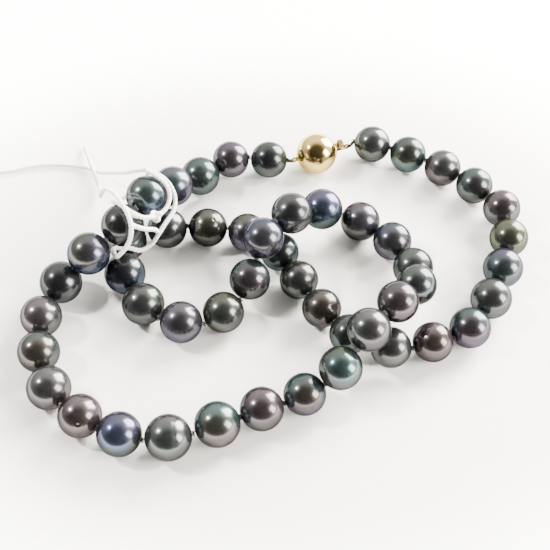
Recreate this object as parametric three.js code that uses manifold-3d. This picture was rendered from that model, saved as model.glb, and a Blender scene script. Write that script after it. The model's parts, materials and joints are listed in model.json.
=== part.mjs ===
// A single-strand necklace of 51 knotted pearls, lying in a loose heap, closed by a gold ball clasp.
// Millimetres, +Z up. The table is z = 0 and the origin is the middle of the heap's footprint.
import * as THREE from 'three'
import { mergeVertices } from 'three/addons/utils/BufferGeometryUtils.js'
import Module from 'manifold-3d'

// ---------- driving dimensions ----------
const PEARL_COUNT = 51
const SMALLEST_PEARL = 8.1
const LARGEST_PEARL = 8.9
const HOLE_DIAMETER = 1.1
const KNOT_GAP = 0.35 // between two pearls, for a knot in the silk
const PEARL_SIDES = 14
const PEARL_BANDS = 7
const SILK_DIAMETER = 0.35
const SILK_SIDES = 5

const ARM_PEARLS = 9 // pearls 1 to 9 swing about the knot between pearls 9 and 10

const CLASP_AT = [9.6, 32.2] // the ball's centre in plan
const CLASP_TURN = THREE.MathUtils.degToRad(22) // from +X to the way the tongue points
const BALL_DIAMETER = 9.3
const BALL_WALL = 0.5
const SLOT = { width: 3.5, bottom: -1.05, top: 1.15 }
const LUG_EYE = -5 // from the ball's centre to the eye of its lug
const TONGUE = { tip: -1.6, width: 2.4, bottom: -0.75, top: -0.35, eye: 7.1 }
const LEAF_WIDTH = 1.6
// The leaf's side outline: a slope from the fold up to a step, a neck, and the thumb trigger.
const LEAF_OUTLINE = [
  [-1.6, 0], [3.3, 0.45], [6.7, 0.45], [6.7, 1.7], [5.4, 1.7], [5.4, 0.8], [3.4, 0.8],
  [3.4, 0.98], [-1.6, 0.3],
]
const EYE = { hole: 0.3, plate: 0.6, thickness: 0.4 }
const RING_RADIUS = 0.62 // of the wire's centreline
const RING_WIRE = 0.4
const LOOP_RADIUS = 0.4 // of the wrapped silk loop round a ring
const LOOP_THICKNESS = 0.2

const STRING_DIAMETER = 1 // the tag string
const STRING_SIDES = 8
const STRING_STEP = 2 // of its length

// The middle of the heap's footprint, which is taken to the origin.
const HEAP_MIDDLE = [1.5, -3.15]

// The strand's route, laid out by hand from pearl 1 round to pearl 51: a pearl's number, its x and y,
// and how high it is lifted off the table where the strand lies across itself. A pearl that isn't
// listed sits midway between its neighbours.
const ROUTE = [
  [1, 22.8, 35.7, 0], [2, 30.9, 32.3, 0], [3, 38.5, 28, 0], [4, 45.1, 22.5, 0], [5, 50.3, 15.6, 0], [6, 50.6, 7, 0],
  [8, 44.5, -9.5, 0], [9, 39.3, -16.8, 0], [11, 23, -21.5, 0], [12, 14.9, -18.3, 0],
  [14, 5, -4.5, 0], [15, 1, 3, 0], [16, -6, 8.4, 0], [18, -23.5, 9.5, 0], [19, -32, 6, 0],
  [20, -31.5, -3, 0], [21, -27, -11, 0], [22, -19, -15.5, 0], [23, -10.5, -13, 0],
  [24, -5.2, -6.2, 2.2], [25, -2.4, 0.2, 7.7], [26, 3.5, 7, 7.7], [27, 10.2, 11.8, 3.6],
  [28, 18.7, 11.6, 0], [29, 25.3, 6, 0], [30, 29, -2, 0.8], [31, 28.5, -9.8, 5.2],
  [32, 24, -16.3, 8.2], [33, 18, -22.8, 7.8], [34, 12.5, -29, 4], [35, 5.7, -32.3, 0],
  [36, -2.5, -35.6, 0], [37, -10.8, -39, 0], [38, -19.8, -41.8, 0], [39, -29, -41, 0],
  [41, -43.5, -31, 0], [43, -47.5, -14, 0], [44, -44.6, -5.4, 0], [45, -38.2, -2.8, 6.3],
  [46, -31.5, 2.7, 8.8], [47, -27.2, 11.2, 8.3], [48, -22.5, 18.4, 3.8], [49, -17, 25.2, 0],
  [50, -10.2, 30.7, 0], [51, -1.4, 30.6, 0],
]

// The tag string's two stretches, laid out by hand as x, y, z. The tie comes from its short free end
// on the table over pearl 46, down between pearls 45 and 46, under the strand between pearls 20 and
// 19, up and loosely round pearl 47, and out over pearl 46 again.
const STRING_TIE = [
  [-45.5, 38.5, 0.6], [-42.8, 30.7, 2.4], [-40.5, 25, 1.2], [-39.3, 20, 3.5], [-37.4, 13.85, 11],
  [-35, 8.95, 17.4], [-32.4, 4.85, 20.2], [-30.1, 1.45, 19.8], [-28.9, -0.95, 17.9],
  [-29.4, -2.75, 14.6], [-32.4, -3.25, 10.3], [-33.6, -0.45, 8.4], [-33.8, 1.25, 7.4],
  [-32.4, 1.55, 7.3], [-30.5, 1.55, 7.1], [-28.5, 2, 5.9], [-26.3, 3.3, 6.3], [-24.7, 4.75, 8],
  [-23.1, 7.05, 9.3], [-21.7, 9.7, 9.8], [-21.4, 12.05, 11.2], [-22.5, 13.65, 13.9],
  [-24.6, 14.05, 16.4], [-26.8, 15.95, 15.4], [-28.1, 16.65, 12.6], [-30.3, 15.75, 10.4],
  [-32.9, 12.65, 10.4], [-33.7, 9.25, 13], [-33.5, 7.55, 15.6], [-32.7, 5.35, 17.8],
  [-30.8, 3.05, 18.7], [-28.9, 1.85, 18], [-27, 2.15, 16.3], [-26, 3.85, 14.3],
]
// The tail leaves the tie over pearl 47 and comes down to the table behind the strand.
const STRING_TAIL = [
  [-27.3, 13.85, 18.1], [-30.1, 15.75, 15.8], [-31.8, 17.45, 13.6], [-33.5, 19.65, 11.2],
  [-37.2, 24.75, 6], [-40.5, 29.15, 1.5], [-44, 31.4, 0.6], [-46.7, 32, 0.6], [-49.5, 32.3, 0.6],
  [-52.5, 32.4, 0.6], [-55.5, 32.15, 0.6], [-58.5, 31.35, 0.6], [-61.5, 30.35, 0.6], [-66, 30, 0.6],
  [-69.5, 30.8, 0.6],
]

// ---------- shared helpers ----------
const wasm = await Module()
wasm.setup()
const UP = new THREE.Vector3(0, 0, 1)

function toSolid(geometry) {
  const bare = geometry.clone()
  bare.deleteAttribute('normal')
  bare.deleteAttribute('uv')
  const merged = mergeVertices(bare, 1e-5)
  return new wasm.Manifold(new wasm.Mesh({
    numProp: 3,
    vertProperties: new Float32Array(merged.attributes.position.array),
    triVerts: new Uint32Array(merged.index.array),
  }))
}

function toGeometry(solid) {
  const mesh = solid.getMesh()
  const geometry = new THREE.BufferGeometry()
  geometry.setAttribute('position', new THREE.BufferAttribute(new Float32Array(mesh.vertProperties), 3))
  geometry.setIndex(new THREE.BufferAttribute(new Uint32Array(mesh.triVerts), 1))
  geometry.computeVertexNormals()
  return geometry
}

function union(geometries) {
  return geometries.map(toSolid).reduce((all, next) => all.add(next))
}

// A frame at a place, with local Y along the given direction and local Z as near to up as it can be.
function frameAlong(place, direction) {
  const y = direction.clone().normalize()
  const x = y.clone().cross(UP).normalize()
  const z = x.clone().cross(y)
  return new THREE.Matrix4().makeBasis(x, y, z).setPosition(place)
}

// A path of straight stretches, which a tube follows with one step per stretch.
class Polyline extends THREE.Curve {
  constructor(points) {
    super()
    this.points = points
  }

  getPointAt(share, target = new THREE.Vector3()) {
    return target.copy(this.points[Math.round(share * (this.points.length - 1))])
  }

  getTangentAt(share, target = new THREE.Vector3()) {
    const at = Math.round(share * (this.points.length - 1))
    const before = this.points[Math.max(at - 1, 0)]
    const after = this.points[Math.min(at + 1, this.points.length - 1)]
    return target.copy(after).sub(before).normalize()
  }
}

function tube(points, diameter, sides) {
  const outline = new THREE.Shape()
  for (let i = 0; i < sides; i += 1) {
    const angle = (2 * Math.PI * i) / sides
    const corner = [Math.cos(angle), Math.sin(angle)].map((v) => (v * diameter) / 2)
    if (i === 0) outline.moveTo(...corner)
    else outline.lineTo(...corner)
  }
  const settings = { steps: points.length - 1, extrudePath: new Polyline(points) }
  return new THREE.ExtrudeGeometry(outline, settings)
}

function box(low, high) {
  const size = high.map((v, i) => v - low[i])
  const middle = high.map((v, i) => (v + low[i]) / 2)
  return new THREE.BoxGeometry(...size).translate(...middle)
}

// ---------- materials ----------
const gold = new THREE.MeshStandardMaterial({ color: 0xd9a95c, roughness: 0.15, metalness: 1 })
const silk = new THREE.MeshStandardMaterial({ color: 0x2b2b30, roughness: 0.8, metalness: 0 })
const cotton = new THREE.MeshStandardMaterial({ color: 0xf4f4f2, roughness: 0.95, metalness: 0 })
const nacre = (turn) =>
  new THREE.MeshStandardMaterial({
    color: new THREE.Color().setHSL((0.45 + 0.35 * turn) % 1, 0.16, 0.28),
    roughness: 0.18,
    metalness: 0.35,
  })

const group = new THREE.Group()
group.position.set(-HEAP_MIDDLE[0], -HEAP_MIDDLE[1], 0)

function addPiece(name, geometry, material) {
  const mesh = new THREE.Mesh(geometry, material)
  mesh.name = name
  group.add(mesh)
  return mesh
}

// ---------- where the pearls sit ----------
const route = new THREE.CatmullRomCurve3(
  ROUTE.map(([, x, y, lift]) => new THREE.Vector3(x, y, lift)), false, 'centripetal')

function placeOf(pearl) {
  const next = Math.max(ROUTE.findIndex(([listed]) => listed >= pearl), 1)
  const [from, to] = [ROUTE[next - 1][0], ROUTE[next][0]]
  const place = route.getPoint((next - 1 + (pearl - from) / (to - from)) / (ROUTE.length - 1))
  return place.setZ(Math.max(place.z, 0))
}

// A pearl's size is what its room on the strand leaves once the knots have theirs, kept within
// the range of sizes that one strand is matched to.
const places = Array.from({ length: PEARL_COUNT }, (_, i) => placeOf(i + 1))
const spacings = places.slice(1).map((place, i) => place.distanceTo(places[i]))
const radii = places.map((_, i) => {
  const before = spacings[Math.max(i - 1, 0)]
  const after = spacings[Math.min(i, spacings.length - 1)]
  const room = (before + after) / 2 - KNOT_GAP
  return THREE.MathUtils.clamp(room, SMALLEST_PEARL, LARGEST_PEARL) / 2
})
const centres = places.map((place, i) => place.clone().setZ(place.z + radii[i]))

// The clasp has its own frame: X along it from the ball to the tongue's eye, Z up, and the origin
// at the ball's centre. Each jump ring stands with its near side in an eye, and the silk's end
// loop goes round its far side.
const ballRadius = BALL_DIAMETER / 2
const claspFrame = new THREE.Matrix4()
  .makeRotationZ(CLASP_TURN)
  .setPosition(...CLASP_AT, ballRadius)
const tongueHeight = (TONGUE.bottom + TONGUE.top) / 2
const leftRingAt = LUG_EYE - RING_RADIUS
const rightRingAt = TONGUE.eye + RING_RADIUS
const LOOP_REACH = RING_RADIUS + LOOP_RADIUS
const leftLoopEnd = new THREE.Vector3(leftRingAt - LOOP_REACH, 0, 0).applyMatrix4(claspFrame)
const rightLoopEnd = new THREE.Vector3(rightRingAt + LOOP_REACH, 0, tongueHeight).applyMatrix4(claspFrame)

// The silk runs through a pearl in the direction from what is before it to what is after it.
const stops = [rightLoopEnd, ...centres, leftLoopEnd]
const directions = centres.map((_, i) => stops[i + 2].clone().sub(stops[i]).normalize())

// Where the silk's straight stretch through a pearl ends, halfway to the next pearl.
function endOf(i, way) {
  return centres[i].clone().addScaledVector(directions[i], way * (radii[i] + KNOT_GAP / 2))
}

// ---------- pearls ----------
// The outline's middle band is straight, so that a pearl that lies on the table meets it with a
// flat at its stated radius.
function pearlGeometry(radius) {
  const hole = HOLE_DIAMETER / 2
  const sideways = radius / Math.cos(Math.PI / PEARL_SIDES)
  const holeAngle = Math.acos(hole / radius)
  const band = (2 * holeAngle) / PEARL_BANDS
  const outline = [new THREE.Vector2(hole, -radius * Math.sin(holeAngle))]
  for (let i = 1; i < PEARL_BANDS; i += 1) {
    const angle = -holeAngle + i * band
    const width = Math.abs(angle) < band ? 1 : Math.cos(angle)
    outline.push(new THREE.Vector2(sideways * width, radius * Math.sin(angle)))
  }
  outline.push(new THREE.Vector2(hole, radius * Math.sin(holeAngle)))
  outline.push(outline[0].clone())
  return new THREE.LatheGeometry(outline, PEARL_SIDES, Math.PI / PEARL_SIDES)
}

for (let i = 0; i < PEARL_COUNT; i += 1) {
  const name = `pearl_${String(i + 1).padStart(2, '0')}`
  const pearl = addPiece(name, pearlGeometry(radii[i]), nacre((i * 0.37) % 1))
  pearl.applyMatrix4(frameAlong(centres[i], directions[i]))
}

// ---------- clasp ----------
// A thin flat eye with a round end, lying flat, reaching out of a wall at `root` to a hole at `eye`.
function eyePlate(root, eye, middleHeight) {
  const half = EYE.thickness / 2
  const [near, far] = root < eye ? [root, eye] : [eye, root]
  const stem = box([near, -EYE.plate, middleHeight - half], [far, EYE.plate, middleHeight + half])
  const disc = new THREE.CylinderGeometry(EYE.plate, EYE.plate, EYE.thickness, 16)
    .rotateX(Math.PI / 2).translate(eye, 0, middleHeight)
  return union([stem, disc])
}

function eyeHole(eye, middleHeight) {
  return toSolid(new THREE.CylinderGeometry(EYE.hole, EYE.hole, 2, 16)
    .rotateX(Math.PI / 2).translate(eye, 0, middleHeight))
}

function claspBall() {
  const upright = (radius) => new THREE.SphereGeometry(radius, 24, 14).rotateX(Math.PI / 2)
  const outside = toSolid(upright(ballRadius)).add(eyePlate(-ballRadius + BALL_WALL, LUG_EYE, 0))
  const inside = toSolid(upright(ballRadius - BALL_WALL))
  const slot = box([ballRadius / 2, -SLOT.width / 2, SLOT.bottom], [BALL_DIAMETER, SLOT.width / 2, SLOT.top])
  return toGeometry(outside.subtract(eyeHole(LUG_EYE, 0)).subtract(inside).subtract(toSolid(slot)))
}

function claspTongue() {
  const half = TONGUE.width / 2
  const plate = box([TONGUE.tip, -half, TONGUE.bottom], [ballRadius + 0.3, half, TONGUE.top])
  const solid = toSolid(plate).add(eyePlate(ballRadius, TONGUE.eye, tongueHeight))
  return toGeometry(solid.subtract(eyeHole(TONGUE.eye, tongueHeight)))
}

function springLeaf() {
  const outline = new THREE.Shape(LEAF_OUTLINE.map(([x, y]) => new THREE.Vector2(x, y)))
  return new THREE.ExtrudeGeometry(outline, { depth: LEAF_WIDTH, bevelEnabled: false })
    .translate(0, 0, -LEAF_WIDTH / 2).rotateX(Math.PI / 2)
}

// A jump ring stands on edge in the clasp's long plane, with its wire through an eye.
function jumpRing(middle, height) {
  return new THREE.TorusGeometry(RING_RADIUS, RING_WIRE / 2, 8, 20)
    .rotateX(Math.PI / 2).translate(middle, 0, height)
}

addPiece('clasp_ball', claspBall(), gold).applyMatrix4(claspFrame)
addPiece('clasp_tongue', claspTongue(), gold).applyMatrix4(claspFrame)
addPiece('clasp_spring_leaf', springLeaf(), gold).applyMatrix4(claspFrame)
addPiece('ring_left', jumpRing(leftRingAt, 0), gold).applyMatrix4(claspFrame)
addPiece('ring_right', jumpRing(rightRingAt, tongueHeight), gold).applyMatrix4(claspFrame)

// ---------- silk ----------
// Inside a pearl the silk is straight, and it bends between them. It ends in a wrapped loop round
// a jump ring.
function silkLoop(wireAt, height) {
  return new THREE.TorusGeometry(LOOP_RADIUS, LOOP_THICKNESS / 2, 6, 12)
    .translate(wireAt, 0, height).applyMatrix4(claspFrame)
}

const silkThrough = (first, last) =>
  centres.slice(first, last + 1).flatMap((_, i) => [endOf(first + i, -1), endOf(first + i, 1)])

const lastPearl = PEARL_COUNT - 1
const arm = [
  tube([rightLoopEnd, ...silkThrough(0, ARM_PEARLS - 1)], SILK_DIAMETER, SILK_SIDES),
  silkLoop(rightRingAt + RING_RADIUS, tongueHeight),
]
const main = [
  tube([...silkThrough(ARM_PEARLS, lastPearl), leftLoopEnd], SILK_DIAMETER, SILK_SIDES),
  silkLoop(leftRingAt - RING_RADIUS, 0),
]
addPiece('silk_arm', toGeometry(union(arm)), silk)
addPiece('silk_main', toGeometry(union(main)), silk)

// ---------- tag string ----------
function stringAlong(points) {
  const line = new THREE.CatmullRomCurve3(points.map((p) => new THREE.Vector3(...p)), false, 'centripetal')
  return tube(line.getSpacedPoints(Math.round(line.getLength() / STRING_STEP)), STRING_DIAMETER, STRING_SIDES)
}

addPiece('tag_string_tie', stringAlong(STRING_TIE), cotton)
addPiece('tag_string_tail', stringAlong(STRING_TAIL), cotton)

export default group
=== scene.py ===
"""The looks of a knotted strand of 51 dark pearls with a gold ball clasp and a cotton tag string."""

import json
import math
import random

import bmesh
import bpy
from mathutils import Matrix, Vector, noise


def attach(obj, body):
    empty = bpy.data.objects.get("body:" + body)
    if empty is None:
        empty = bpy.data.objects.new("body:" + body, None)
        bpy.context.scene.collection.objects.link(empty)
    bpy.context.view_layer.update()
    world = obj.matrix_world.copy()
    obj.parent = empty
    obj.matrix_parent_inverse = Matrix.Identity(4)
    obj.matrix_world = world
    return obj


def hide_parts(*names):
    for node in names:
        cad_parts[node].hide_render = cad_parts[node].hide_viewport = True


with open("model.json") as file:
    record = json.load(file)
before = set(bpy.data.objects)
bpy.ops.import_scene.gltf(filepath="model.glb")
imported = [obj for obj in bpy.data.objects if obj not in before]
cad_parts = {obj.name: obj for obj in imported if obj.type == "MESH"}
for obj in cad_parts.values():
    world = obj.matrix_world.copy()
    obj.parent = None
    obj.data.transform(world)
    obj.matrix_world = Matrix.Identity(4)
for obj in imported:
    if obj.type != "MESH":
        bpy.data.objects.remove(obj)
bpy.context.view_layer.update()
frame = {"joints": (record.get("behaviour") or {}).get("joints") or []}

# ---------- sizes, in metres unless a name or a comment says otherwise ----------
MM = 0.001
JOINTS = {joint["name"]: joint for joint in frame["joints"]}
PEARL_COUNT = 51
SMALLEST_PEARL = 8.1 * MM
LARGEST_PEARL = 8.9 * MM
KNOT_GAP = 0.35 * MM  # the room for a knot between two pearls
HOLE_RADIUS = 0.5 * MM
ARM_PEARLS = 9  # the first pearls, which swing out with the clasp's tongue

VIEW_TARGET = Vector((-1.5, 3.15, 0)) * MM
VIEW_DISTANCE = 210 * MM
VIEW_ELEVATION = math.radians(51.9)
VIEW_LENS_MM = 63.8
SENSOR_MM = 36

STRING_DIAMETER = 1 * MM
STRING_STEP = 0.25 * MM
STRING_PLIES = 3
STRING_TWIST = 2.6 * MM  # the length of one full turn of the plies
HEAP_SHIFT = Vector((-1.5, 3.15, 0))  # millimetres, from where the routes were laid out to the frame

# The two main stretches of the tag string, in millimetres.
STRING_TIE = [
    (-45.5, 38.5, 0.6), (-42.8, 30.7, 2.4), (-40.5, 25, 1.2), (-39.3, 20, 3.5), (-37.4, 13.85, 11),
    (-35, 8.95, 17.4), (-32.4, 4.85, 20.2), (-30.1, 1.45, 19.8), (-28.9, -0.95, 17.9),
    (-29.4, -2.75, 14.6), (-32.4, -3.25, 10.3), (-33.6, -0.45, 8.4), (-33.8, 1.25, 7.4),
    (-32.4, 1.55, 7.3), (-30.5, 1.55, 7.1), (-28.5, 2, 5.9), (-26.3, 3.3, 6.3), (-24.7, 4.75, 8),
    (-23.1, 7.05, 9.3), (-21.7, 9.7, 9.8), (-21.4, 12.05, 11.2), (-22.5, 13.65, 13.9),
    (-24.6, 14.05, 16.4), (-26.8, 15.95, 15.4), (-28.1, 16.65, 12.6), (-30.3, 15.75, 10.4),
    (-32.9, 12.65, 10.4), (-33.7, 9.25, 13), (-33.5, 7.55, 15.6), (-32.7, 5.35, 17.8),
    (-30.8, 3.05, 18.7), (-28.9, 1.85, 18), (-27, 2.15, 16.3), (-26, 3.85, 14.3),
]
STRING_TAIL = [
    (-27.3, 13.85, 18.1), (-30.1, 15.75, 15.8), (-31.8, 17.45, 13.6), (-33.5, 19.65, 11.2),
    (-37.2, 24.75, 6), (-40.5, 29.15, 1.5), (-44, 31.4, 0.6), (-46.7, 32, 0.6), (-49.5, 32.3, 0.6),
    (-52.5, 32.4, 0.6), (-55.5, 32.15, 0.6), (-58.5, 31.35, 0.6), (-61.5, 30.35, 0.6), (-66, 30, 0.6),
    (-69.5, 30.8, 0.6),
]
# From the long end's start to the string's knot, beside the tie's turn round pearl 47, in millimetres.
STRING_SECOND_TURN = [
    (-27.3, 13.9, 18.2), (-25, 13, 17.2), (-23, 12.1, 15.6), (-22.2, 10.4, 13.8),
    (-22.9, 8.2, 12.5), (-23.9, 6.7, 12.4), (-24.7, 5.8, 12.6),
]
# A short third strand from the tie's front leg across to its rear leg, in millimetres.
STRING_CROSS = [
    (-28.9, -0.95, 17.6), (-27.4, -0.6, 16.2), (-26.2, 0.9, 14), (-25.1, 3.2, 11.2), (-24.7, 4.7, 8.6),
]
SHORT_END_POINTS = 6  # the tie's first points are the string's short free end
STRING_KNOT_AT = (-24.8, 5.7, 12.7)  # millimetres
STRING_KNOT_WAY = Vector((0.25, -0.75, 0.6)).normalized()
STRING_KNOT_SIZE = 1.35 * MM
STRING_KNOT_CORD = 0.42 * MM  # the radius of the cord in the knot
END_KNOT_SIZE = 0.7 * MM
END_KNOT_CORD = 0.3 * MM
END_KNOT_PAST = 0.2  # how far past the string's end its knot is, in millimetres
END_KNOT_LIFT = Vector((0, 0, 0.3 * MM))
FRAYED_FIBRES = 7
FIBRE_RADIUS = 0.045 * MM
FIBRE_REACH = (1.6, 2.6)  # as shares of the knot's size, like the sag
FIBRE_SAG = Vector((0, 0, -0.15))

random.seed(51)


# ---------- shapes ----------
FULL_TURN = 2 * math.pi
SPLINE_STEPS = 20  # fine points on each stretch of a spline
SHORTEST_CHORD = 1e-5  # this and the next keep a division from failing
SHORTEST_STEP = 1e-12
PLY_SHARE = 0.54  # a ply's radius, as a share of its yarn's


def spline(points, step):
    """A centripetal Catmull-Rom curve through the points, as evenly spaced points about step apart."""
    ends = [points[0] * 2 - points[1], *points, points[-1] * 2 - points[-2]]
    fine = []
    for a, b, c, d in zip(ends, ends[1:], ends[2:], ends[3:]):
        ab, bc, cd = [max((q - p).length ** 0.5, SHORTEST_CHORD) for p, q in ((a, b), (b, c), (c, d))]
        leave = ((b - a) / ab - (c - a) / (ab + bc) + (c - b) / bc) * bc
        arrive = ((c - b) / bc - (d - b) / (bc + cd) + (d - c) / cd) * bc
        for k in range(SPLINE_STEPS):
            t = k / SPLINE_STEPS
            fine.append(
                b * (2 * t**3 - 3 * t**2 + 1) + leave * (t**3 - 2 * t**2 + t)
                + c * (3 * t**2 - 2 * t**3) + arrive * (t**3 - t**2)
            )
    return evenly([*fine, points[-1]], step)


def evenly(points, step):
    """The same line with its points an even distance apart."""
    lengths = [0]
    for a, b in zip(points, points[1:]):
        lengths.append(lengths[-1] + (b - a).length)
    count = max(round(lengths[-1] / step), 2)
    spaced = []
    at = 0
    for k in range(count + 1):
        goal = lengths[-1] * k / count
        while at < len(points) - 2 and lengths[at + 1] < goal:
            at += 1
        share = (goal - lengths[at]) / max(lengths[at + 1] - lengths[at], SHORTEST_STEP)
        spaced.append(points[at].lerp(points[at + 1], min(share, 1)))
    return spaced


def frames_along(path):
    """(tangent, side, other side) at each point, turning as little as they can."""
    last = len(path) - 1
    tangents = [(path[min(i + 1, last)] - path[max(i - 1, 0)]).normalized() for i in range(len(path))]
    side = tangents[0].orthogonal().normalized()
    frames = []
    for tangent in tangents:
        side = (side - tangent * side.dot(tangent)).normalized()
        frames.append((tangent, side, tangent.cross(side)))
    return frames


def skin(mesh, rings, closed=False):
    """Joins rings of verts with faces. An open skin is capped at both ends."""
    pairs = list(zip(rings, rings[1:]))
    if closed:
        pairs.append((rings[-1], rings[0]))
    for low, high in pairs:
        for k in range(len(low)):
            after = (k + 1) % len(low)
            mesh.faces.new((low[k], low[after], high[after], high[k]))
    if not closed:
        mesh.faces.new(rings[0][::-1])
        mesh.faces.new(rings[-1])


def tube(mesh, path, radius, sides, closed=False):
    """Adds a tube along the path to a bmesh."""
    rings = []
    for point, (_, side, other) in zip(path, frames_along(path)):
        ring = []
        for k in range(sides):
            angle = FULL_TURN * k / sides
            out = (side * math.cos(angle) + other * math.sin(angle)) * radius
            ring.append(mesh.verts.new(point + out))
        rings.append(ring)
    skin(mesh, rings, closed)


def plied(mesh, path, diameter, plies, twist, sides=7):
    """Adds a yarn of several plies, twisted round the path, to a bmesh."""
    ply_radius = diameter / 2 * PLY_SHARE
    offset = diameter / 2 - ply_radius
    frames = frames_along(path)
    walked = [0]
    for a, b in zip(path, path[1:]):
        walked.append(walked[-1] + (b - a).length)
    for ply in range(plies):
        line = []
        for point, (_, side, other), length in zip(path, frames, walked):
            angle = FULL_TURN * (length / twist + ply / plies)
            line.append(point + (side * math.cos(angle) + other * math.sin(angle)) * offset)
        tube(mesh, line, ply_radius, sides)


def circle(middle, u, v, radius, count, start=0.0, turn=FULL_TURN):
    """Points on an arc round middle in the plane of u and v. A full circle's last point is left out."""
    last = count if turn == FULL_TURN else count - 1
    angles = [start + turn * k / last for k in range(count)]
    return [middle + (u * math.cos(a) + v * math.sin(a)) * radius for a in angles]


def trefoil(middle, along, size, wide, long, count):
    """The closed line of a knot pulled tight. wide and long are shares of its size."""
    side = along.orthogonal().normalized()
    other = along.cross(side)
    line = []
    for k in range(count):
        a = FULL_TURN * k / count
        u = math.sin(a) + 2 * math.sin(2 * a)
        v = math.cos(a) - 2 * math.cos(2 * a)
        w = -math.sin(3 * a)
        line.append(middle + (side * u * wide + other * v * wide + along * w * long) * size)
    return line


def data_of(name, mesh):
    """Mesh data made from a bmesh, which is freed."""
    data = bpy.data.meshes.new(name)
    mesh.to_mesh(data)
    mesh.free()
    return data


def object_of(name, data):
    """A new object in the scene that holds the data."""
    made = bpy.data.objects.new(name, data)
    bpy.context.scene.collection.objects.link(made)
    return made


def piece(name, mesh, material, body, replaces=(), origin=None):
    """Turns a bmesh into a smooth piece that rides on a body."""
    bmesh.ops.recalc_face_normals(mesh, faces=mesh.faces)
    data = data_of(name, mesh)
    made = object_of(name, data)
    if origin is not None:
        data.transform(Matrix.Translation(-origin))
        made.location = origin
    data.materials.append(material)
    data.shade_smooth()
    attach(made, body)
    if replaces:
        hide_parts(*replaces)
    return made


# ---------- materials ----------
def make_material(name, settings):
    """A Principled material with these constants on the shader's own sockets."""
    material = bpy.data.materials.new(name)
    material.use_nodes = True
    shader = material.node_tree.nodes["Principled BSDF"]
    for socket, value in settings.items():
        shader.inputs[socket].default_value = value
    return material, material.node_tree, shader


def add(tree, kind, sockets, **settings):
    """A new node, with each socket given a value or linked to another node's output."""
    made = tree.nodes.new(kind)
    for name, value in settings.items():
        setattr(made, name, value)
    for key, value in sockets.items():
        if isinstance(value, bpy.types.NodeSocket):
            tree.links.new(value, made.inputs[key])
        else:
            made.inputs[key].default_value = value
    return made


def coordinates(tree):
    """The place on the object, in its own coordinates."""
    return add(tree, "ShaderNodeTexCoord", {}).outputs["Object"]


def clouds(tree, place, scale, detail, output="Fac"):
    """Noise, as one value or as a colour."""
    sockets = {"Vector": place, "Scale": scale, "Detail": detail}
    return add(tree, "ShaderNodeTexNoise", sockets).outputs[output]


def mix(tree, share, a, b):
    """A colour between a and b. Sockets 0, 6 and 7 of a colour Mix node are its factor, A and B."""
    a, b = [value if isinstance(value, bpy.types.NodeSocket) else (*value, 1) for value in (a, b)]
    return add(tree, "ShaderNodeMix", {0: share, 6: a, 7: b}, data_type="RGBA").outputs[2]


def ramp(tree, value, low, high, bottom=0.0, top=1.0):
    """A smooth step from bottom to top, as the value goes from low to high."""
    sockets = {"Value": value, "From Min": low, "From Max": high, "To Min": bottom, "To Max": top}
    return add(tree, "ShaderNodeMapRange", sockets, interpolation_type="SMOOTHSTEP").outputs["Result"]


def vector(tree, operation, a, b=None, scale=None):
    """A vector operation's result, which is one value for a dot product or a length."""
    sockets = {0: a}
    if b is not None:
        sockets[1] = b
    if scale is not None:
        sockets["Scale"] = scale
    made = add(tree, "ShaderNodeVectorMath", sockets, operation=operation)
    return made.outputs["Value" if operation in ("DOT_PRODUCT", "LENGTH") else "Vector"]


def bump(tree, shader, height, strength, distance):
    """Relief from a height, on the shader's normal."""
    sockets = {"Height": height, "Strength": strength, "Distance": distance}
    tree.links.new(add(tree, "ShaderNodeBump", sockets).outputs["Normal"], shader.inputs["Normal"])


# The overtones that dark nacre shows, as reflectances. In each pearl's heart, which faces the viewer, they
# also serve as a painted reflection of the dark room.
OVERTONES = {
    "steel": (0.055, 0.060, 0.064),
    "silver": (0.079, 0.080, 0.082),
    "neutral": (0.053, 0.053, 0.053),
    "dark": (0.028, 0.029, 0.030),
    "green_grey": (0.053, 0.063, 0.058),
    "teal": (0.041, 0.063, 0.062),
    "turquoise": (0.053, 0.086, 0.083),
    "violet": (0.061, 0.052, 0.081),
    "blue": (0.041, 0.050, 0.081),
    "lavender": (0.077, 0.071, 0.089),
    "rose": (0.083, 0.068, 0.072),
    "aubergine": (0.055, 0.044, 0.049),
    "brown": (0.056, 0.046, 0.039),
    "olive": (0.055, 0.055, 0.041),
    "pistachio": (0.076, 0.085, 0.055),
    "moss": (0.055, 0.069, 0.049),
}
# Each pearl's crown, heart, skirt and glint, from pearl 1 to pearl 51. The heart faces the viewer, and its
# tone is partly the nacre's own and partly a painted reflection of the dark room.
PEARL_TONES = """
green_grey neutral green_grey silver
teal olive turquoise pistachio
rose neutral aubergine silver
teal neutral green_grey turquoise
rose aubergine silver rose
pistachio olive moss rose
violet green_grey blue teal
green_grey neutral steel silver
teal aubergine violet turquoise
rose brown aubergine rose
steel neutral silver blue
green_grey dark teal moss
neutral brown neutral olive
olive neutral green_grey moss
teal dark teal steel
olive neutral violet lavender
neutral olive dark brown
steel neutral steel silver
teal steel neutral turquoise
steel dark blue teal
green_grey neutral green_grey moss
lavender neutral violet silver
olive green_grey olive neutral
teal aubergine neutral lavender
blue neutral violet blue
neutral dark silver steel
violet blue teal violet
aubergine neutral neutral lavender
blue neutral lavender steel
green_grey neutral green_grey silver
green_grey dark green_grey steel
neutral aubergine neutral violet
silver aubergine neutral green_grey
moss teal rose turquoise
teal brown violet turquoise
rose aubergine neutral silver
turquoise olive rose teal
silver neutral neutral green_grey
violet blue green_grey blue
rose brown rose aubergine
silver neutral rose neutral
green_grey brown green_grey olive
silver rose silver neutral
steel dark steel silver
teal olive blue violet
neutral dark neutral steel
steel teal blue green_grey
lavender teal steel violet
teal green_grey teal moss
lavender aubergine lavender violet
green_grey dark green_grey turquoise
"""
CROWN_WAY = (0, 0.79, 0.62)  # up and away from the viewer
# The heart faces this way: its colour is partly the nacre's own and partly a painted reflection of the
# dark room where the viewer stands.
VIEWER_WAY = (0, -0.62, 0.79)  # towards the viewer
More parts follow.
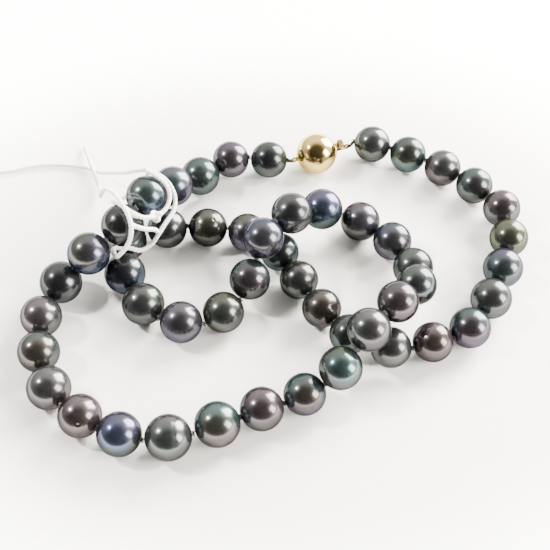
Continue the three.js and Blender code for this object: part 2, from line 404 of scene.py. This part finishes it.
# Each zone's edge runs between two cosines from its way. A zone's share is how far it covers what is
# below it.
CROWN_EDGE = (-0.45, 0.5)
ZONE_EDGE = (0.45, 0.95)
HEART_REFLECTION_SHARE = 0.85
GLINT_SHARE = 0.75
ZONE_DRIFT = 0.9  # how far noise bends the zones' edges
SEED_REACH = 20  # how far apart the pearls' noise is taken
MOTTLE_SHADES = (0.94, 1.06)
NACRE_ROUGHNESS = (0.2, 0.27)


def nacre(name, radius, crown, heart_and_reflection, skirt, glint):
    """Dark nacre: soft zones of overtone over the ball, the heart facing the viewer partly a painted
    reflection of the dark room, a faint mottle and the finest growth relief.
    """
    material, tree, shader = make_material(name, {
        "Metallic": 0.86,
        "Specular Tint": (0.1, 0.1, 0.12, 1),
        "Coat Weight": 0.2,
        "Coat Roughness": 0.08,
        "Coat IOR": 1.55,
    })
    seed = tuple(random.uniform(-SEED_REACH, SEED_REACH) for _ in range(3))
    glint_way = [random.uniform(-1, 1), random.uniform(-0.7, 0.7), random.uniform(-0.3, 1)]
    glint_way = tuple(Vector(glint_way).normalized())
    ball = vector(tree, "SCALE", coordinates(tree), scale=1 / radius)
    own = vector(tree, "ADD", ball, seed)
    cloud = clouds(tree, own, 1.1, 2.0, "Color")
    drift = vector(tree, "SCALE", vector(tree, "SUBTRACT", cloud, (0.5, 0.5, 0.5)), scale=ZONE_DRIFT)
    bent = vector(tree, "ADD", ball, drift)
    upper = ramp(tree, vector(tree, "DOT_PRODUCT", bent, CROWN_WAY), *CROWN_EDGE)
    # Painted reflection: the zone facing the viewer takes the heart's tone, partly the nacre's own and
    # partly the dark room it would reflect.
    middle = ramp(tree, vector(tree, "DOT_PRODUCT", bent, VIEWER_WAY), *ZONE_EDGE, top=HEART_REFLECTION_SHARE)
    patch = ramp(tree, vector(tree, "DOT_PRODUCT", bent, glint_way), *ZONE_EDGE, top=GLINT_SHARE)
    colour = mix(tree, upper, OVERTONES[skirt], OVERTONES[crown])
    colour = mix(tree, middle, colour, OVERTONES[heart_and_reflection])
    colour = mix(tree, patch, colour, OVERTONES[glint])
    mottle = clouds(tree, own, 5.0, 4.0)
    shade = ramp(tree, mottle, 0.25, 0.75, *MOTTLE_SHADES)
    tree.links.new(vector(tree, "MULTIPLY", colour, shade), shader.inputs["Base Color"])
    tree.links.new(ramp(tree, mottle, 0.2, 0.8, *NACRE_ROUGHNESS), shader.inputs["Roughness"])
    pores = add(tree, "ShaderNodeTexVoronoi", {"Vector": own, "Scale": 3.2}).outputs["Distance"]
    pits = ramp(tree, pores, 0.0, 0.07)
    peel = clouds(tree, own, 11.0, 2.0)
    relief = add(tree, "ShaderNodeMath", {0: pits, 1: peel}, operation="ADD").outputs["Value"]
    bump(tree, shader, relief, 0.14, 0.02 * MM)
    return material


def gold(name, low, high):
    """Polished gold that varies a little between two reflectances, with fine rub marks."""
    material, tree, shader = make_material(name, {"Metallic": 1.0, "Specular Tint": (0.85, 0.78, 0.52, 1)})
    place = coordinates(tree)
    cast = clouds(tree, place, 400.0, 3.0)
    tree.links.new(mix(tree, cast, low, high), shader.inputs["Base Color"])
    stretched = vector(tree, "MULTIPLY", place, (900, 4000, 2500))
    rubs = clouds(tree, stretched, 1.0, 5.0)
    tree.links.new(ramp(tree, rubs, 0.3, 0.8, 0.07, 0.2), shader.inputs["Roughness"])
    bump(tree, shader, rubs, 0.12, 0.01 * MM)
    return material


def thread(name, dark, light, scale, settings):
    """A spun fibre: two shades along fine streaks, a matt surface and a soft sheen."""
    material, tree, shader = make_material(name, settings)
    fibres = clouds(tree, coordinates(tree), scale, 6.0)
    tree.links.new(mix(tree, ramp(tree, fibres, 0.3, 0.7), dark, light), shader.inputs["Base Color"])
    tree.links.new(ramp(tree, fibres, 0.2, 0.8, 0.95, 0.7), shader.inputs["Roughness"])
    bump(tree, shader, fibres, 0.5, 0.03 * MM)
    return material


GOLD = gold("polished_gold", (0.50, 0.355, 0.12), (0.57, 0.425, 0.165))
# Painted shade: a darker copy of the same gold, for the tongue, the spring leaf and the jump rings, which
# sit in the slot and between the ball and the pearls.
SHADED_GOLD = gold("gold_painted_shade", (0.25, 0.20, 0.075), (0.33, 0.27, 0.115))
GIMP = thread("gilt_gimp", (0.03, 0.022, 0.012), (0.12, 0.085, 0.04), 5000, {"Metallic": 0.8})
SILK = thread("dark_silk", (0.012, 0.011, 0.012), (0.05, 0.045, 0.045), 6000, {"Sheen Weight": 0.4})
COTTON = thread("white_cotton", (0.74, 0.73, 0.70), (0.95, 0.95, 0.93), 4500, {
    "Sheen Weight": 0.3,
    "Subsurface Weight": 0.15,
    "Subsurface Radius": (0.0004, 0.0004, 0.0004),
})


# ---------- camera ----------
def make_camera():
    """The camera, which looks down at the heap from the front."""
    data = bpy.data.cameras.new("camera")
    data.sensor_width = SENSOR_MM
    data.lens = VIEW_LENS_MM
    data.clip_start = 0.005
    data.clip_end = 20
    camera = object_of("camera", data)
    back = Vector((0, -math.cos(VIEW_ELEVATION), math.sin(VIEW_ELEVATION)))
    camera.location = VIEW_TARGET + back * VIEW_DISTANCE
    camera.rotation_euler = (-back).to_track_quat("-Z", "Y").to_euler()
    bpy.context.scene.camera = camera


make_camera()


# ---------- tag string ----------
def laid_out(points):
    """A route's points in the frame, in metres."""
    return [(Vector(p) + HEAP_SHIFT) * MM for p in points]


def string_piece(name, path, replaces):
    """A stretch of the string along a path."""
    mesh = bmesh.new()
    plied(mesh, path, STRING_DIAMETER, STRING_PLIES, STRING_TWIST)
    return piece(name, mesh, COTTON, "strand", replaces)


def length_of(path):
    return sum((b - a).length for a, b in zip(path, path[1:]))


def overhand_knot(middle, along, size, cord_radius, name, frayed=0):
    """A pulled overhand knot, with short frayed fibres past it where the string ends."""
    side = along.orthogonal().normalized()
    other = along.cross(side)
    mesh = bmesh.new()
    line = trefoil(middle, along, size, wide=0.25, long=0.42, count=90)
    tube(mesh, line, cord_radius, 9, closed=True)
    for _ in range(frayed):
        way = (along + side * random.uniform(-0.5, 0.5) + other * random.uniform(-0.5, 0.5)).normalized()
        start = middle + side * random.uniform(-1, 1) * cord_radius
        start = start + other * random.uniform(-1, 1) * cord_radius
        reach = random.uniform(*FIBRE_REACH) * size
        sag = FIBRE_SAG * size
        fibre = [start + way * reach * t + sag * t * t for t in (0.0, 0.25, 0.5, 0.75, 1.0)]
        tube(mesh, fibre, FIBRE_RADIUS, 5)
    return piece(name, mesh, COTTON, "strand")


def tag_string():
    """The string's short end, its loops and their knot, and its long end with a knot of its own."""
    tie = spline(laid_out(STRING_TIE), STRING_STEP)
    free = length_of(spline(laid_out(STRING_TIE[:SHORT_END_POINTS]), STRING_STEP))
    split = round(free / length_of(tie) * (len(tie) - 1))
    short = tie[split::-1]
    short_piece = string_piece("tag_string_short_end", short, ["tag_string_tie"])
    knot_at = laid_out([STRING_KNOT_AT])[0]
    string_piece("tag_string_loops", evenly([*tie[split:], knot_at], STRING_STEP), ["tag_string_tie"])
    string_piece("tag_string_cross", spline(laid_out(STRING_CROSS), STRING_STEP), [])
    string_piece("tag_string_second_turn", spline(laid_out(STRING_SECOND_TURN), STRING_STEP), [])
    overhand_knot(knot_at, STRING_KNOT_WAY, STRING_KNOT_SIZE, STRING_KNOT_CORD, "tag_string_knot")
    tail = spline(laid_out(STRING_TAIL), STRING_STEP)
    end_way = (tail[-1] - tail[-2]).normalized()
    end_at = tail[-1] + end_way * END_KNOT_PAST * MM + END_KNOT_LIFT
    end_knot = overhand_knot(end_at, end_way, END_KNOT_SIZE, END_KNOT_CORD, "tag_string_end_knot",
                             FRAYED_FIBRES)
    tail_piece = string_piece("tag_string_long_end", tail, ["tag_string_tail"])


tag_string()


# ---------- where the pearls are ----------
def pearl_joint(i):
    return JOINTS[f"pearl_{i + 1:02d}_spin"]


CENTRES = [Vector(pearl_joint(i)["pos_m"]) for i in range(PEARL_COUNT)]
WAYS = [Vector(pearl_joint(i)["axis"]).normalized() for i in range(PEARL_COUNT)]
SPACINGS = [(b - a).length for a, b in zip(CENTRES, CENTRES[1:])]


def pearl_radius(i):
    """What the pearl's neighbours and the knots leave it, within the pearls' sizes."""
    room = (SPACINGS[max(i - 1, 0)] + SPACINGS[min(i, PEARL_COUNT - 2)]) / 2 - KNOT_GAP
    return min(max(room, SMALLEST_PEARL), LARGEST_PEARL) / 2


RADII = [pearl_radius(i) for i in range(PEARL_COUNT)]


# ---------- pearls ----------
PEARL_SIDES = 88
PEARL_RINGS = 60
BORE_SHARE = 0.96  # the bore's width inside, as a share of its mouth's
BORE_DEPTHS = (0.94, 0.3, -0.3, -0.94)  # as shares of half the bore's length
# The next ones are shares of a pearl's radius.
UNEVEN = 0.007  # how far a pearl's surface falls short of its full radius, at most
MOST_STRETCH = 0.006  # how far a pearl's length along its hole is from its width, at most
GROOVE_DEPTH, GROOVE_WIDTH = 0.006, 0.07
PIT_DEPTH, PIT_WIDTH = 0.022, 0.055
PIT_RIM_HEIGHT, PIT_RIM_WIDTH, PIT_RIM_RADIUS = 0.004, 0.05, 0.13
# The pearls with a faint groove, and where it is along their hole.
RINGED = {21: 0.35, 38: -0.3, 49: 0.45, 5: 0.5}
# The pearls with a pit, and the way from their middle to it.
PITTED = {
    17: (0.35, -0.25, 0.9),
    11: (-0.5, -0.5, 0.7),
    40: (0.1, -0.8, 0.6),
    46: (-0.35, -0.6, 0.7),
}


def bell(x, width):
    """A smooth bump that is 1 at x = 0."""
    return math.exp(-((x / width) ** 2))


def pearl_mesh(i):
    """A ball with a drilled hole. It is a little uneven, and some have a groove or a pit."""
    radius = RADII[i]
    centre = CENTRES[i]
    way = WAYS[i]
    side = way.cross(Vector((0, 0, 1))).normalized()
    other = side.cross(way)
    pit = Vector(PITTED[i + 1]).normalized() if i + 1 in PITTED else None
    finer = 2 if pit else 1
    sides = PEARL_SIDES * finer
    rings = PEARL_RINGS * finer
    stretch = random.uniform(-MOST_STRETCH, MOST_STRETCH)
    seed = Vector((i * 3.7, i * 1.3, -i * 2.1))
    mouth = math.asin(HOLE_RADIUS / radius)
    profile = []
    for k in range(rings + 1):
        angle = mouth + (math.pi - 2 * mouth) * k / rings
        profile.append((math.sin(angle), -math.cos(angle)))
    bore_depth = math.cos(mouth) * radius
    mesh = bmesh.new()
    grid = []
    for wide, along in profile:
        ring = []
        for j in range(sides):
            a = FULL_TURN * j / sides
            out = side * math.cos(a) * wide + other * math.sin(a) * wide + way * along
            lump = noise.noise(out * 1.1 + seed)
            share = 1 - UNEVEN * (0.5 - 0.5 * lump) + stretch * (wide * wide - 1)
            if i + 1 in RINGED:
                share -= GROOVE_DEPTH * bell(along - RINGED[i + 1], GROOVE_WIDTH)
            if pit:
                apart = (out - pit).length
                rim = PIT_RIM_HEIGHT * bell(apart - PIT_RIM_RADIUS, PIT_RIM_WIDTH)
                share -= PIT_DEPTH * bell(apart, PIT_WIDTH) - rim
            ring.append(mesh.verts.new(centre + out * radius * min(share, 1)))
        grid.append(ring)
    for depth in BORE_DEPTHS:
        wall = []
        for j in range(sides):
            a = FULL_TURN * j / sides
            out = (side * math.cos(a) + other * math.sin(a)) * HOLE_RADIUS * BORE_SHARE
            wall.append(mesh.verts.new(centre + out + way * bore_depth * depth))
        grid.append(wall)
    skin(mesh, grid, closed=True)
    return mesh


def pearls():
    tones = [line.split() for line in PEARL_TONES.strip().splitlines()]
    for i in range(PEARL_COUNT):
        node = f"pearl_{i + 1:02d}"
        material = nacre(f"nacre_{i + 1:02d}", RADII[i], *tones[i])
        piece(f"{node}_nacre", pearl_mesh(i), material, node, [node], origin=CENTRES[i])


pearls()


# ---------- clasp ----------
BALL_RADIUS = 4.65 * MM
BALL_WALL = 0.4 * MM
LUG_EYE = -5 * MM
TONGUE_EYE = 7.1 * MM
TONGUE_LEVEL = -0.55 * MM
EYE_HOLE = 0.3 * MM
RING_RADIUS = 0.62 * MM
RING_WIRE = 0.4 * MM
LOOP_RADIUS = 0.4 * MM  # of the silk's end loops through the jump rings
LUG_WIRE = 0.16 * MM  # the radius of the lug's wire and of the collar's, like the next two
TONGUE_EYE_WIRE = 0.17 * MM
RIM_WIRE = 0.13 * MM
COLLAR_RADIUS = 0.55 * MM
COLLAR_AT = -BALL_RADIUS * 0.985
SLOT_HALF_WIDTH = 1.75 * MM
SLOT_LOW = -1.05 * MM
SLOT_HIGH = 1.15 * MM
SLOT_ROUNDING = 0.3 * MM
RIM_MARGIN = 0.1 * MM  # how far outside the slot's edge its rim lies
RIM_CORNER = 0.45 * MM
RIM_SUNK = 0.02 * MM
RIM_STEP = 0.15 * MM
TONGUE_TIP = -1.6 * MM
# The tongue's plate and the narrower strip to its eye, each from corner to corner in millimetres.
TONGUE_BLOCKS = [
    ((-1.6, -1.2, -0.75), (4.75, 1.2, -0.35)),
    ((4.6, -0.58, -0.74), (6.75, 0.58, -0.36)),
]
TONGUE_BEVEL = 0.1 * MM
FOLD_LEVEL = -0.2 * MM
FOLD_RADIUS = 0.35 * MM
FOLD_WIRE = 0.14 * MM
FOLD_WIDENING = 5.4  # what makes the fold's wire a flat strip as wide as the tongue
# The middle line of the spring leaf, as x and z in millimetres.
LEAF_LINE = [
    (-1.6, 0.15), (-0.5, 0.25), (1, 0.42), (2.4, 0.6), (3.1, 0.72), (3.45, 0.62), (4.2, 0.6), (6.5, 0.6),
]
LEAF_HALF_WIDTH = 0.8 * MM
LEAF_HALF_THICKNESS = 0.14 * MM
LEAF_STEP = 0.2 * MM
# The leaf's section, as shares of its half width and half thickness.
LEAF_SECTION = [
    (-1, -0.4), (-1, 0.4), (-0.9, 1), (0.9, 1), (1, 0.4), (1, -0.4), (0.9, -1), (-0.9, -1),
]
TRIGGER_BLOCK = ((5.4, -0.8, 0.46), (6.66, 0.8, 1.62))  # millimetres
TRIGGER_BEVEL = 0.2 * MM
RIBS = 4
FIRST_RIB = 5.58  # millimetres, like the ribs' pitch, level and half length
RIB_PITCH = 0.3
RIB_LEVEL = 1.62
RIB_HALF_LENGTH = 0.68
RIB_RADIUS = 0.07 * MM
RING_SEAM = math.radians(3)  # half of the gap between a jump ring's ends
RING_SEAM_AT = 0.7  # the gap's place round the ring, in radians from X
X_AXIS = Vector((1, 0, 0))
Y_AXIS = Vector((0, 1, 0))
Z_AXIS = Vector((0, 0, 1))


def clasp_matrix():
    """The clasp's own frame: X along it to the tongue's eye, Z up, the origin at the ball's centre."""
    along = Vector(JOINTS["ring_left_twist"]["axis"]).normalized()
    across = Z_AXIS.cross(along).normalized()
    middle = Vector(JOINTS["ring_left_twist"]["pos_m"]) + along * (RING_RADIUS - LUG_EYE)
    turned = Matrix((along, across, along.cross(across))).transposed().to_4x4()
    return Matrix.Translation(middle) @ turned


CLASP = clasp_matrix()


def in_place(mesh):
    """The bmesh moved from the clasp's own frame to where the clasp is."""
    bmesh.ops.transform(mesh, matrix=CLASP, verts=mesh.verts)
    return mesh


def rounded_box(mesh, low, high, radius):
    """Adds a box with round edges to a bmesh."""
    low = Vector(low)
    high = Vector(high)
    size = high - low
    shape = Matrix.Translation((low + high) / 2) @ Matrix.Diagonal((*size, 1))
    made = bmesh.ops.create_cube(mesh, size=1, matrix=shape)["verts"]
    edges = {edge for vert in made for edge in vert.link_edges}
    bmesh.ops.bevel(mesh, geom=list(edges), offset=radius, segments=3, affect="EDGES", profile=0.5)


def rounded_block(mesh, block, radius):
    """Adds a round-edged box to a bmesh, given as two corners in millimetres."""
    rounded_box(mesh, *([v * MM for v in corner] for corner in block), radius)


def cut(mesh, *cutters):
    """The bmesh less the cutters, which are bmeshes too."""
    base, *tools = [object_of("cutter", data_of("cutter", part)) for part in (mesh, *cutters)]
    for tool in tools:
        modifier = base.modifiers.new("cut", "BOOLEAN")
        modifier.operation = "DIFFERENCE"
        modifier.solver = "EXACT"
        modifier.object = tool
    bpy.context.view_layer.update()
    made = bmesh.new()
    made.from_object(base, bpy.context.evaluated_depsgraph_get())
    for spare in (base, *tools):
        bpy.data.objects.remove(spare)
    return made


def sphere(radius):
    mesh = bmesh.new()
    bmesh.ops.create_uvsphere(mesh, u_segments=96, v_segments=64, radius=radius)
    return mesh


def eye(mesh, middle, wire):
    """Adds a small round wire eye that lies flat."""
    tube(mesh, circle(middle, X_AXIS, Y_AXIS, EYE_HOLE + wire, 36), wire, 12, closed=True)


def clasp_shell():
    """The hollow ball with its slot, and the lug's eye on a collar."""
    slot = bmesh.new()
    slot_inner = (BALL_RADIUS / 2, -SLOT_HALF_WIDTH, SLOT_LOW)
    slot_outer = (BALL_RADIUS * 1.3, SLOT_HALF_WIDTH, SLOT_HIGH)
    rounded_box(slot, slot_inner, slot_outer, SLOT_ROUNDING)
    shell = cut(sphere(BALL_RADIUS), sphere(BALL_RADIUS - BALL_WALL), slot)
    eye(shell, Vector((LUG_EYE, 0, 0)), LUG_WIRE)
    collar = circle(Vector((COLLAR_AT, 0, 0)), Y_AXIS, Z_AXIS, COLLAR_RADIUS, 40)
    tube(shell, collar, LUG_WIRE, 10, closed=True)
    made = piece("clasp_ball_shell", in_place(shell), GOLD, "strand", ["clasp_ball"])
    made.data.set_sharp_from_angle(angle=math.radians(40))


def slot_rim():
    """A fine raised wire round the slot's mouth, lying on the ball."""
    middle = (SLOT_HIGH + SLOT_LOW) / 2
    high = (SLOT_HIGH - SLOT_LOW) / 2 + RIM_MARGIN
    wide = SLOT_HALF_WIDTH + RIM_MARGIN
    quarter = math.pi / 2
    corners = []
    for k, (sy, sz) in enumerate(((1, 1), (-1, 1), (-1, -1), (1, -1))):
        centre = Vector((0, sy * (wide - RIM_CORNER), middle + sz * (high - RIM_CORNER)))
        corners += circle(centre, Y_AXIS, Z_AXIS, RIM_CORNER, 9, start=k * quarter, turn=quarter)
    line = evenly([*corners, corners[0]], RIM_STEP)[:-1]
    for point in line:
        point.x = math.sqrt(BALL_RADIUS**2 - point.y**2 - point.z**2) - RIM_SUNK
    rim = bmesh.new()
    tube(rim, line, RIM_WIRE, 10, closed=True)
    piece("clasp_slot_rim", in_place(rim), GOLD, "strand")


def clasp_tongue():
    """The flat tongue, the fold at its tip and the eye at its root."""
    tongue = bmesh.new()
    for block in TONGUE_BLOCKS:
        rounded_block(tongue, block, TONGUE_BEVEL)
    eye(tongue, Vector((TONGUE_EYE, 0, TONGUE_LEVEL)), TONGUE_EYE_WIRE)
    fold_middle = Vector((TONGUE_TIP, 0, FOLD_LEVEL))
    fold = circle(fold_middle, -X_AXIS, Z_AXIS, FOLD_RADIUS, 13, -math.pi / 2, math.pi)
    strip = bmesh.new()
    tube(strip, fold, FOLD_WIRE, 12)
    bmesh.ops.scale(strip, vec=(1, FOLD_WIDENING, 1), verts=strip.verts)
    tongue.from_mesh(data_of("fold", strip))
    made = piece("clasp_tongue_plate", in_place(tongue), SHADED_GOLD, "arm", ["clasp_tongue"])
    made.data.set_sharp_from_angle(angle=math.radians(50))


def spring_leaf():
    """A sprung strip that steps up behind the slot, with a ribbed thumb trigger at its outer end."""
    leaf = bmesh.new()
    rings = []
    for point in evenly([Vector((x, 0, z)) * MM for x, z in LEAF_LINE], LEAF_STEP):
        ring = []
        for y, z in LEAF_SECTION:
            out = Vector((0, LEAF_HALF_WIDTH * y, LEAF_HALF_THICKNESS * z))
            ring.append(leaf.verts.new(point + out))
        rings.append(ring)
    skin(leaf, rings)
    rounded_block(leaf, TRIGGER_BLOCK, TRIGGER_BEVEL)
    for k in range(RIBS):
        rib = Vector((FIRST_RIB + RIB_PITCH * k, 0, RIB_LEVEL)) * MM
        half = Y_AXIS * RIB_HALF_LENGTH * MM
        tube(leaf, [rib - half, rib + half], RIB_RADIUS, 10)
    made = piece("clasp_trigger_leaf", in_place(leaf), SHADED_GOLD, "spring_leaf",
                 ["clasp_spring_leaf"])
    made.data.set_sharp_from_angle(angle=math.radians(50))


def jump_ring(side, x, level):
    """A wire ring standing on edge, with its two ends butted together."""
    middle = Vector((x, 0, level))
    ring = bmesh.new()
    turn = FULL_TURN - 2 * RING_SEAM
    wire = circle(middle, X_AXIS, Z_AXIS, RING_RADIUS, 60, RING_SEAM_AT + RING_SEAM, turn)
    tube(ring, wire, RING_WIRE / 2, 14)
    piece(f"jump_ring_{side}", in_place(ring), SHADED_GOLD, f"ring_{side}", [f"ring_{side}"])


GIMP_CORE = 0.1 * MM
GIMP_COIL = 0.12  # the coil's radius to its wire's middle, in millimetres
GIMP_WIRE = 0.05 * MM
GIMP_TURNS = 26
GIMP_STEPS = 12  # points in each turn
GIMP_WIDTH = 0.7 * MM  # of the stub at the pearl, where the gimp lies doubled
STUB_PLIES = 3
STUB_TWIST = 0.5 * MM
STUB_STEP = 0.05 * MM


def gimp(side, body, x, level):
    """Fine gilt coil wire over the silk where it loops through a jump ring."""
    turns = circle(Vector((x, 0, level)), X_AXIS, Y_AXIS, LOOP_RADIUS, 60)
    core = bmesh.new()
    tube(core, turns, GIMP_CORE, 8, closed=True)
    frames = frames_along(turns)
    line = []
    for k in range(GIMP_TURNS * GIMP_STEPS):
        at = k / GIMP_STEPS / GIMP_TURNS * len(turns)
        low = int(at)
        point = turns[low].lerp(turns[(low + 1) % len(turns)], at - low)
        _, u, v = frames[low]
        angle = FULL_TURN * k / GIMP_STEPS
        line.append(point + (u * math.cos(angle) + v * math.sin(angle)) * GIMP_COIL * MM)
    tube(core, line, GIMP_WIRE, 5, closed=True)
    piece(f"gimp_{side}", in_place(core), GIMP, body)


LEFT_RING = LUG_EYE - RING_RADIUS
RIGHT_RING = TONGUE_EYE + RING_RADIUS
clasp_shell()
slot_rim()
clasp_tongue()
spring_leaf()
jump_ring("left", LEFT_RING, 0)
jump_ring("right", RIGHT_RING, TONGUE_LEVEL)
gimp("left", "strand", LEFT_RING - RING_RADIUS, 0)
gimp("right", "arm", RIGHT_RING + RING_RADIUS, TONGUE_LEVEL)


# ---------- silk ----------
SILK_DIAMETER = 0.35 * MM
SILK_PLIES = 2
SILK_TWIST = 1.1 * MM
SILK_STEP = 0.4 * MM
KNOT_SIZE = 0.62 * MM
BEND_KNOT_SIZE = 0.34 * MM  # the knot that the strand bends at
KNOT_THREAD = 0.2  # the radius of a knot's thread, as a share of its size
BEND_AT = Vector(JOINTS["strand_swing"]["pos_m"])


def silk_knot(mesh, middle, along, size):
    """Adds a tight knot, which fills the gap between two pearls, to a bmesh."""
    line = trefoil(middle, along, size, wide=0.28, long=0.22, count=48)
    tube(mesh, line, KNOT_THREAD * size, 7, closed=True)


def mouths(i):
    """The places just outside pearl i's hole, before it and after it."""
    reach = WAYS[i] * (RADII[i] + KNOT_GAP / 2)
    return CENTRES[i] - reach, CENTRES[i] + reach


def through(first, last):
    """The silk's line through these pearls."""
    points = []
    for i in range(first, last + 1):
        points += mouths(i)
    return points


def between(i):
    """The middle of the gap after pearl i, and the way the silk runs there."""
    return (mouths(i)[1] + mouths(i + 1)[0]) / 2, (WAYS[i] + WAYS[i + 1]).normalized()


def silk(name, body, points, knots, node):
    """A stretch of the silk with its knots, each given as its middle and the way the silk runs there."""
    mesh = bmesh.new()
    plied(mesh, evenly(points, SILK_STEP), SILK_DIAMETER, SILK_PLIES, SILK_TWIST, sides=5)
    for middle, along in knots:
        at_bend = (middle - BEND_AT).length < KNOT_GAP
        silk_knot(mesh, middle, along, BEND_KNOT_SIZE if at_bend else KNOT_SIZE)
    piece(name, mesh, SILK, body, [node])


def gimp_stub(side, body, start, end):
    """The gimp's last turns, from the end loop to the pearl's hole."""
    mesh = bmesh.new()
    plied(mesh, evenly([start, end], STUB_STEP), GIMP_WIDTH, STUB_PLIES, STUB_TWIST, sides=6)
    piece(f"gimp_stub_{side}", mesh, GIMP, body)


def strand_silk():
    """The silk's two stretches, which part at the bend, and the gimp's stubs at its ends."""
    reach = RING_RADIUS + LOOP_RADIUS
    left_end = CLASP @ Vector((LEFT_RING - reach, 0, 0))
    right_end = CLASP @ Vector((RIGHT_RING + reach, 0, TONGUE_LEVEL))
    last = PEARL_COUNT - 1
    first_mouth = mouths(0)[0]
    last_mouth = mouths(last)[1]
    arm_knots = [(first_mouth, WAYS[0])] + [between(i) for i in range(ARM_PEARLS - 1)]
    main_knots = [between(i) for i in range(ARM_PEARLS - 1, last)] + [(last_mouth, WAYS[last])]
    gimp_stub("right", "arm", right_end, first_mouth)
    gimp_stub("left", "strand", left_end, last_mouth)
    silk("silk_arm_thread", "arm", [right_end, *through(0, ARM_PEARLS - 1)], arm_knots, "silk_arm")
    silk("silk_main_thread", "strand", [*through(ARM_PEARLS, last), left_end], main_knots, "silk_main")


strand_silk()


# ---------- studio ----------
HEAP_HALF = (55 * MM, 43 * MM)
# The table's painted glow: where it sets in and where it is full, and how strong it is.
PAINTED_GLOW_EDGE = (1.15, 2.1)  # as shares of the heap's half size
PAINTED_GLOW_STRENGTH = 8.0
TABLE_DROP = 0.1 * MM


def floor():
    """A pale table top with a painted glow, which washes it out more and more away from the heap."""
    mesh = bmesh.new()
    bmesh.ops.create_grid(mesh, x_segments=1, y_segments=1, size=3)
    made = object_of("table_top", data_of("table_top", mesh))
    made.location.z = -TABLE_DROP
    material, tree, shader = make_material("pale_table", {
        "Roughness": 0.55,
        "Specular IOR Level": 0.3,
        "Emission Color": (1, 0.995, 0.985, 1),
    })
    place = coordinates(tree)
    cloud = clouds(tree, place, 6.0, 2.0)
    tree.links.new(mix(tree, cloud, (0.95, 0.925, 0.87), (0.97, 0.95, 0.91)), shader.inputs["Base Color"])
    across = vector(tree, "MULTIPLY", place, (1 / HEAP_HALF[0], 1 / HEAP_HALF[1], 0))
    away = vector(tree, "LENGTH", across)
    # Painted light: the table glows more the farther it is from the heap, which leaves it darker round the
    # heap.
    tree.links.new(ramp(tree, away, *PAINTED_GLOW_EDGE, 0.0, PAINTED_GLOW_STRENGTH), shader.inputs["Emission Strength"])
    made.data.materials.append(material)


def area_light(name, way, distance, size, power, colour=(1, 1, 1), shape="RECTANGLE"):
    """A light on the way from the heap, facing it."""
    data = bpy.data.lights.new(name, "AREA")
    data.shape = shape
    data.energy = power
    data.color = colour
    data.size, data.size_y = size
    made = object_of(name, data)
    way = Vector(way).normalized()
    made.location = way * distance
    made.rotation_euler = (-way).to_track_quat("-Z", "Y").to_euler()
    made.visible_camera = False


BRIGHT_WAY = (0.61, 0.55, 0.57)  # towards the windows
WINDOW_COLOUR = (1, 0.965, 0.91)
ROOM_LIGHT = 4.2
ROOM_COLOUR = (0.66, 0.64, 0.60)
DARK_COLOUR = (0.035, 0.035, 0.035)
DARK_INNER = math.radians(34)  # the angles from VIEWER_WAY that the dark part's edge lies between
DARK_OUTER = math.radians(72)


def studio_world():
    """A bright room for the pearls to reflect, dark only where the viewer stands. It is seen as white."""
    world = bpy.data.worlds.new("studio")
    world.use_nodes = True
    tree = world.node_tree
    shell = tree.nodes["Background"]
    way = add(tree, "ShaderNodeTexCoord", {}).outputs["Generated"]
    towards = vector(tree, "DOT_PRODUCT", way, VIEWER_WAY)
    lit = ramp(tree, vector(tree, "DOT_PRODUCT", way, BRIGHT_WAY), -0.7, 0.7, 0.35, 1.25)
    shade = ramp(tree, towards, math.cos(DARK_OUTER), math.cos(DARK_INNER))
    room = mix(tree, shade, ROOM_COLOUR, DARK_COLOUR)
    room = vector(tree, "MULTIPLY", room, lit)
    seen = add(tree, "ShaderNodeLightPath", {}).outputs["Is Camera Ray"]
    tree.links.new(mix(tree, seen, room, (1, 1, 1)), shell.inputs["Color"])
    shell.inputs["Strength"].default_value = ROOM_LIGHT
    bpy.context.scene.world = world


floor()
studio_world()
area_light("window_back", (0.70, 0.66, 0.40), 0.8, (0.5, 0.64), 78, WINDOW_COLOUR)
area_light("window_side", (0.85, -0.30, 0.45), 0.8, (0.32, 0.44), 22, WINDOW_COLOUR)
area_light("lamp", (-0.672, 0.09, 0.736), 0.7, (0.07, 0.07), 8, shape="DISK")
